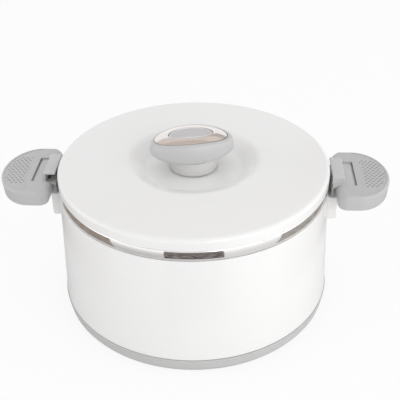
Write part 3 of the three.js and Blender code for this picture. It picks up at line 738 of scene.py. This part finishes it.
barrel = [
    (HINGE_X + BARREL * math.cos(angle), HINGE_Z + BARREL * math.sin(angle))
    for angle in (math.pi * k / 24 - math.pi / 2 for k in range(25))
]
block_outline = [
    (BLOCK_INNER, BLOCK_BOTTOM),
    *barrel,
    (SHELF_END, HINGE_Z + BARREL),
    (SHELF_END, BLOCK_TOP),
    (BLOCK_INNER, BLOCK_TOP),
]
shelf_foot = HINGE_Z + BARREL + 0.05
shelf_cut = [
    (BLOCK_INNER + SHELF + SHELF_RAMP, shelf_foot),
    (HINGE_X, shelf_foot),
    (HINGE_X, BLOCK_TOP + 1.9),
    (BLOCK_INNER + SHELF - SHELF_RAMP, BLOCK_TOP + 1.9),
]
block = extruded(block_outline, -BLOCK_HALF_WIDTH, BLOCK_HALF_WIDTH, "Y")
shelf_half = BLOCK_HALF_WIDTH - SHELF_END_LENGTH
block = softened(cut(block, extruded(shelf_cut, -shelf_half, shelf_half, "Y")), 0.35)
core_end = BLOCK_HALF_WIDTH - CORE_DEPTH
for low_y, high_y in ((-BLOCK_HALF_WIDTH - 1, -core_end), (core_end, BLOCK_HALF_WIDTH + 1)):
    block = cut(block, box(
        (BLOCK_INNER + CORE_WALL, low_y, BLOCK_BOTTOM - 1),
        (HINGE_X - BARREL, high_y, BLOCK_TOP - CORE_WALL)))
block = cut(block, bar(PIN_HOLE, -30, 30, HINGE_X, 0, HINGE_Z, "Y"))
for y in (-SCREW_Y, SCREW_Y):
    block = cut(block, bar(SCREW_HOLE_RADIUS, 80, SCREW_HOLE_TOP, SCREW_X, y, 0))
hinge_grey = moulded("hinge grey plastic", (0.42, 0.415, 0.41), 0.3)
on_both_sides("hinge_block_moulding_", block, hinge_grey, "base", "dark_grey_plastic", "hinge_block_")

# Handles: each is a hollow D-shaped paddle of satin grey plastic, open below. Two
# lugs take the pin, and a field of small dimples on top gives the thumb a grip.
PADDLE_LOW, PADDLE_HIGH = (tuple(c / MM for c in corner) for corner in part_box("handle_right"))
PADDLE_INNER, PADDLE_OUTER = PADDLE_LOW[0], PADDLE_HIGH[0]
PADDLE_BOTTOM, PADDLE_TOP = PADDLE_LOW[2], PADDLE_HIGH[2]
PADDLE_HALF_WIDTH = PADDLE_HIGH[1]
PADDLE_BEND = HINGE_X + 10.3
PADDLE_CORNER = 7.5
PADDLE_DRAFT = 0.8
PADDLE_WALL = 2.2
PADDLE_EDGE = 2
KNUCKLE_EDGE_LOW = 2.5
KNUCKLE_EDGE_TOP = 5
WINDOW_END = HINGE_X + 9.8
WINDOW_HALF_WIDTH = 17.8
LUG_SIDE = WINDOW_HALF_WIDTH + 4.4
CATCH_TRAVEL = 6
CATCH_GAP = 0.3
PLATE_TOP = PADDLE_TOP - 1.1
PLATE_OUTER = WINDOW_END - 1.3
TAIL_TOP = PLATE_TOP - 1.2
TAIL_BOTTOM = TAIL_TOP - 1.6
TAIL_END = WINDOW_END + 8
POCKET_BOTTOM = TAIL_BOTTOM - CATCH_GAP
POCKET_END = TAIL_END + CATCH_TRAVEL + CATCH_GAP
POCKET_FLOOR = POCKET_BOTTOM - 1.5
DIMPLE_RADIUS = 0.74
DIMPLE_DEPTH = 1.2
DIMPLE_START = (132.4, 0.8)
DIMPLE_STEP = (1.78, 2.38)
FIELD_DEPTH = 0.4
FIELD_INNER = 132.2
FIELD_BOW = 2
FIELD_BORDER = 4.3
FIELD_MARGIN = 1.9
FIELD_HALF_WIDTH = 20.2


def paddle_outline():
    """The paddle's outline: each point with its outward normal."""
    outline = []
    reach = PADDLE_OUTER - PADDLE_BEND
    for k in range(97):
        angle = math.pi * (k / 96 - 0.5)
        x, y = PADDLE_BEND + reach * math.cos(angle), PADDLE_HALF_WIDTH * math.sin(angle)
        normal = Vector((math.cos(angle) / reach, math.sin(angle) / PADDLE_HALF_WIDTH)).normalized()
        outline.append((x, y, normal))
    corner_x, corner_y = PADDLE_INNER + PADDLE_CORNER, PADDLE_HALF_WIDTH - PADDLE_CORNER
    for y, start in ((corner_y, math.pi / 2), (-corner_y, math.pi)):
        for k in range(25):
            angle = start + math.pi / 2 * k / 24
            normal = Vector((math.cos(angle), math.sin(angle)))
            outline.append((corner_x + PADDLE_CORNER * normal.x, y + PADDLE_CORNER * normal.y, normal))
    return outline


def paddle_ring(height, inset):
    """The outline at a height, drawn in by an inset that is a function of the knuckles' share there."""
    ring = []
    for x, y, normal in paddle_outline():
        share = max(0, -normal.x)
        move = inset(share * share * (3 - 2 * share))
        ring.append((x - move[0] * normal.x, y - move[0] * normal.y, height + move[1]))
    return ring


def edge_ring(height, radius, knuckle_radius, angle, inset, up):
    """A ring of a rounded edge, whose radius grows to another at the knuckles' end."""
    def move(share):
        here = between(radius, knuckle_radius, share)
        return inset + here * (1 - math.cos(angle)), up * here * (1 - math.sin(angle))
    return paddle_ring(height, move)


quarter_turn = [math.pi / 2 * k / 7 for k in range(8)]
outside_rings = [
    edge_ring(PADDLE_BOTTOM, PADDLE_EDGE, KNUCKLE_EDGE_LOW, angle, PADDLE_DRAFT, 1)
    for angle in reversed(quarter_turn)
]
outside_rings += [
    edge_ring(PADDLE_TOP, PADDLE_EDGE, KNUCKLE_EDGE_TOP, angle, 0, -1)
    for angle in quarter_turn
]
paddle = skinned(outside_rings)
below_paddle = PADDLE_BOTTOM - 3
skin_bottom = PADDLE_TOP - PADDLE_WALL
cavity = skinned([
    paddle_ring(below_paddle, lambda share: (PADDLE_DRAFT + PADDLE_WALL, 0)),
    paddle_ring(skin_bottom - 1, lambda share: (PADDLE_WALL + share * 1.5, 0)),
    paddle_ring(skin_bottom, lambda share: (PADDLE_WALL + 1 + share * 2.5, 0)),
])
cavity = cut(cavity, box(
    (PADDLE_INNER - 3, -LUG_SIDE, below_paddle - 1), (WINDOW_END + PADDLE_WALL, LUG_SIDE, PADDLE_TOP)))
cavity = cut(cavity, box(
    (WINDOW_END, -LUG_SIDE, POCKET_FLOOR), (POCKET_END + PADDLE_WALL, LUG_SIDE, PADDLE_TOP)))
paddle = cut(paddle, cavity)


def slot_box(x0, z0, x1, z1):
    """A cutter as wide as the window."""
    return box((x0, -WINDOW_HALF_WIDTH, z0), (x1, WINDOW_HALF_WIDTH, z1))


plate_end = PLATE_OUTER + CATCH_TRAVEL + CATCH_GAP
for cutter in (
    slot_box(PADDLE_INNER - 3, below_paddle, WINDOW_END, PADDLE_TOP + 3),
    slot_box(WINDOW_END - 3, below_paddle, WINDOW_END + PADDLE_WALL + 3, POCKET_FLOOR),
    slot_box(WINDOW_END - 3, POCKET_BOTTOM, POCKET_END, TAIL_TOP + CATCH_GAP),
    slot_box(WINDOW_END - 3, POCKET_BOTTOM, plate_end, PLATE_TOP + CATCH_GAP),
    bar(PIN_HOLE, -30, 30, HINGE_X, 0, HINGE_Z, "Y"),
):
    paddle = cut(paddle, cutter)


def field_inner(y, border):
    """Where the field of dimples begins, this far outside its first row."""
    return FIELD_INNER - FIELD_BOW * (y / 20) ** 2 - border


def field_reach(border):
    """The half length and half width of the oval that bounds the field."""
    return PADDLE_OUTER - PADDLE_BEND - FIELD_BORDER + border, PADDLE_HALF_WIDTH - FIELD_BORDER + border


reach, half = field_reach(FIELD_MARGIN)
field_outline = []
for k in range(65):
    angle = math.pi * (k / 64 - 0.5)
    x, y = PADDLE_BEND + reach * math.cos(angle), half * math.sin(angle)
    if x > field_inner(y, FIELD_MARGIN):
        field_outline.append((x, y))
far_corner = field_outline[-1][1]
for k in range(1, 16):
    y = far_corner * (1 - k / 8)
    field_outline.append((field_inner(y, FIELD_MARGIN), y))
paddle = cut(paddle, extruded(field_outline, PADDLE_TOP - FIELD_DEPTH, PADDLE_TOP + 1, "Z"))

dimples = []
reach, half = field_reach(0)
for i in range(-2, 12):
    for j in range(-9, 10):
        if (i + j) % 2:
            continue
        x, y = DIMPLE_START[0] + i * DIMPLE_STEP[0], DIMPLE_START[1] + j * DIMPLE_STEP[1]
        outside = ((x - PADDLE_BEND) / reach) ** 2 + (y / half) ** 2
        if outside > 1 or x < field_inner(y, 0.2) or abs(y) > FIELD_HALF_WIDTH:
            continue
        dimple = turned([
            (0, -DIMPLE_DEPTH),
            (0.8 * DIMPLE_RADIUS, -DIMPLE_DEPTH),
            (DIMPLE_RADIUS, -0.7 * DIMPLE_DEPTH),
            (DIMPLE_RADIUS, 0.3),
            (0, 0.3),
        ], 14)
        dimple.transform(Matrix.Translation((x, y, PADDLE_TOP - FIELD_DEPTH)))
        dimples.append(dimple)
paddle = cut(paddle, merged(*dimples))
handle_grey = moulded("handle grey plastic", (0.5, 0.5, 0.507), 0.36, grain=0.6, depth=0.012)
on_both_sides("handle_paddle_", paddle, handle_grey, "handle_", "handle_plastic", "handle_")

# Thumb catches: each is one moulding, a raised bar beside the lid that the thumb
# pushes, a plate in the paddle's window, and a tail in a pocket under its skin.
CATCH_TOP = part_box("catch_right")[1].z / MM
BAR_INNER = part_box("catch_right")[0].x / MM
BAR_OUTER = BAR_INNER + 9.2
BAR_HALF_LENGTH = 15
BAR_SKIN = 1.9
BAR_WALL = 1.5
BAR_EDGE = 1.2
BAR_END_BOTTOM = BLOCK_TOP + 0.15
FOOT_END = 16.9
PLATE_BOTTOM = PLATE_TOP - 1.5

wall_inner = BAR_OUTER - BAR_WALL
bar_outline = rounded([
    (BAR_INNER, CATCH_TOP - BAR_SKIN),
    (wall_inner, CATCH_TOP - BAR_SKIN),
    (wall_inner, PLATE_TOP - 0.7),
    (BAR_OUTER + 1.3, PLATE_TOP - 0.7),
    (BAR_OUTER, CATCH_TOP, BAR_EDGE),
    (BAR_INNER, CATCH_TOP, BAR_EDGE),
])
catch_bar = extruded(bar_outline, -BAR_HALF_LENGTH, BAR_HALF_LENGTH, "Y")
end_wall = box(
    (BAR_INNER + 0.1, 0.05 - BAR_HALF_LENGTH, BAR_END_BOTTOM),
    (BAR_OUTER - 0.3, BAR_WALL - BAR_HALF_LENGTH, CATCH_TOP - 0.6))
end_foot = box(
    (BAR_INNER + 0.4, -FOOT_END, BAR_END_BOTTOM),
    (BAR_OUTER + 0.9, 1 - BAR_HALF_LENGTH, PADDLE_TOP - 0.5))
catch_bar = cut(softened(catch_bar, 0.5), softened(end_wall, 0.15), "UNION")
catch_bar = cut(catch_bar, softened(end_foot, 0.25), "UNION")
heel = PLATE_OUTER - 1.3
plate_half_width = WINDOW_HALF_WIDTH - CATCH_GAP
plate_outline = [
    (wall_inner - 0.1, PLATE_BOTTOM),
    (heel, PLATE_BOTTOM),
    (heel, TAIL_BOTTOM),
    (TAIL_END, TAIL_BOTTOM),
    (TAIL_END, TAIL_TOP),
    (PLATE_OUTER, TAIL_TOP),
    (PLATE_OUTER, PLATE_TOP),
    (wall_inner - 0.1, PLATE_TOP),
]
plate = softened(extruded(plate_outline, -plate_half_width, plate_half_width, "Y"), 0.2, 2)
catch = cut(catch_bar, plate, "UNION")
catch_grey = moulded("catch grey plastic", (0.55, 0.55, 0.56), 0.36, grain=0.6, depth=0.02)
on_both_sides("thumb_catch_", catch, catch_grey, "catch_", "handle_plastic", "catch_")

# Studio: the bowl stands on a pale table in a white room. Large soft lamps light it
# from above and from both sides, and darker cards, seen only in what is polished, paint its darker
# reflections.
TABLE_REACH = 3
ROOM_LIGHT = 0.77
LAMP_AIM = Vector((0, 0, 0.06))
CARD_HEIGHT = 0.0005
CARD_LOW = RIM_BOTTOM + 1.2
CARD_HIGH = RIM_TOP - 0.4
CARD_STEPS = 8
LEAST_DROP = 0.07
OVERHEAD_HEIGHT = 1.2


def seen_by(tree):
    """Three values: whether the camera, a glossy ray or a transmitted ray sees the surface."""
    path = tree.nodes.new("ShaderNodeLightPath")
    return [Value(tree, path.outputs["Is " + ray + " Ray"]) for ray in ("Camera", "Glossy", "Transmission")]


# The camera sees the table almost as pale as the room, and fully so far from the bowl.
# What is polished sees it darker near the bowl, and darker on the left than the right:
# painted shade, deeper on the left than on the right.
pale, spot, _ = material("pale table", (0.9, 0.9, 0.9), 0.9)
seen, glossy, through = seen_by(pale.node_tree)
distance = spot.node("VectorMath", {"operation": "LENGTH"}, {0: spot}, "Value")
on_the_right = spot.node("SeparateXYZ", (), {"Vector": spot}, "X").above(0, 0.12)
near = 1 - distance.above(0.3, 0.14)
share = seen.math("MAXIMUM", seen, through) * (0.85 + distance.above(1.7, 0.8) * 0.15) + glossy
# Painted shade: in reflections the glow is dimmed near the bowl, less so on the right.
glow = spot.node("Emission", (), {"Strength": 1 - glossy * near * (0.5 - on_the_right * 0.2)})
plain = Value(pale.node_tree, pale.node_tree.nodes["Principled BSDF"].outputs[0])
blend = spot.node("MixShader", (), {0: share, 1: plain, 2: glow})
pale.node_tree.links.new(blend.socket, pale.node_tree.nodes["Material Output"].inputs[0])
table_corners = [(x * TABLE_REACH, y * TABLE_REACH, 0) for x, y in ((-1, -1), (1, -1), (1, 1), (-1, 1))]
floor = bpy.data.objects.new("table", mesh_of(table_corners, [(0, 1, 2, 3)]))
bpy.context.scene.collection.objects.link(floor)
floor.data.materials.append(pale)

world = bpy.data.worlds.new("studio")
bpy.context.scene.world = world
world.use_nodes = True
seen, glossy, through = seen_by(world.node_tree)
direct = seen.math("MAXIMUM", seen, glossy.math("MAXIMUM", glossy, through))
room = direct * (1 - ROOM_LIGHT) + ROOM_LIGHT
background = world.node_tree.nodes["Background"]
background.inputs["Color"].default_value = (1, 1, 1, 1)
world.node_tree.links.new(room.socket, background.inputs["Strength"])


def lamp(name, place, size, power):
    """A soft square lamp at a place in metres, aimed at the bowl."""
    light = bpy.data.lights.new(name, "AREA")
    light.size = size
    light.energy = power
    made = bpy.data.objects.new(name, light)
    bpy.context.scene.collection.objects.link(made)
    made.location = place
    made.rotation_euler = (LAMP_AIM - Vector(place)).to_track_quat("-Z", "Y").to_euler()


lamp("overhead lamp", (0, 0.35, 1.3), 1.8, 1.7)
lamp("front right lamp", (0.75, -1.1, 0.5), 1.0, 5.5)
lamp("right lamp", (1.3, -0.15, 0.45), 1.0, 2.4)
lamp("left lamp", (-1.3, -0.2, 0.45), 1.0, 2.9)


def card(name, corners, dark, light):
    """A card that shows only in what is polished: a painted reflection, seen nowhere else."""
    made = bpy.data.objects.new(name, mesh_of(corners, [range(len(corners))]))
    bpy.context.scene.collection.objects.link(made)
    paper, place, feed = material(name, dark, 0.9)
    feed("Base Color", place.noise(22, 3).above(0.5, 0.16).mix(dark, light))
    made.data.materials.append(paper)
    for ray in ("camera", "diffuse", "shadow", "transmission", "volume_scatter"):
        setattr(made, "visible_" + ray, False)


def seen_in_band(angle, height):
    """The point of the table that the camera sees in the steel band, at an angle and a height."""
    turn = math.radians(angle) + CAMERA_TURN
    lean = 2 * RIM_BULGE * (height - rim_middle) / (RIM_TOP - rim_middle) ** 2
    outward = Vector((math.sin(turn), -math.cos(turn), lean)).normalized()
    point = Vector((RIM_RADIUS * math.sin(turn), -RIM_RADIUS * math.cos(turn), height)) * MM
    sight = (point - camera.matrix_world.translation).normalized()
    ray = sight - 2 * sight.dot(outward) * outward
    return point - ray * (point.z - CARD_HEIGHT) / min(ray.z, -LEAST_DROP)


def table_card(name, starts, ends, dark, light):
    """A card on the table that shows in the band between angles in degrees, at its foot and at its top."""
    rows = []
    for height, start, end in zip((CARD_LOW, CARD_HIGH), starts, ends):
        angles = [between(start, end, k / CARD_STEPS) for k in range(CARD_STEPS + 1)]
        rows.append([seen_in_band(angle, height) for angle in angles])
    card(name, rows[0] + rows[1][::-1], dark, light)


# These three table cards paint the darker reflections in the steel band, placed from the camera's place.
table_card("middle card", (-11, -11.2), (11.2, 10.7), (0.03, 0.025, 0.03), (0.26, 0.23, 0.22))
table_card("right card", (32.8, 35.6), (76, 76), (0.28, 0.26, 0.24), (0.42, 0.4, 0.38))
table_card("left card", (-68, -68), (-31.5, -34), (0.21, 0.17, 0.145), (0.36, 0.32, 0.29))
# The overhead card paints a warm reflection into the plated trim and the other polished tops.
overhead = [(-1.6, -2.4), (-1.6, 1.35), (0.2, 1.5), (0.5, 2.4), (1.6, 2.4), (1.6, -2.4)]
overhead = [(x, y, OVERHEAD_HEIGHT) for x, y in overhead]
card("overhead card", overhead, (0.62, 0.545, 0.5), (0.75, 0.675, 0.625))

bpy.context.scene.view_settings.view_transform = "Standard"
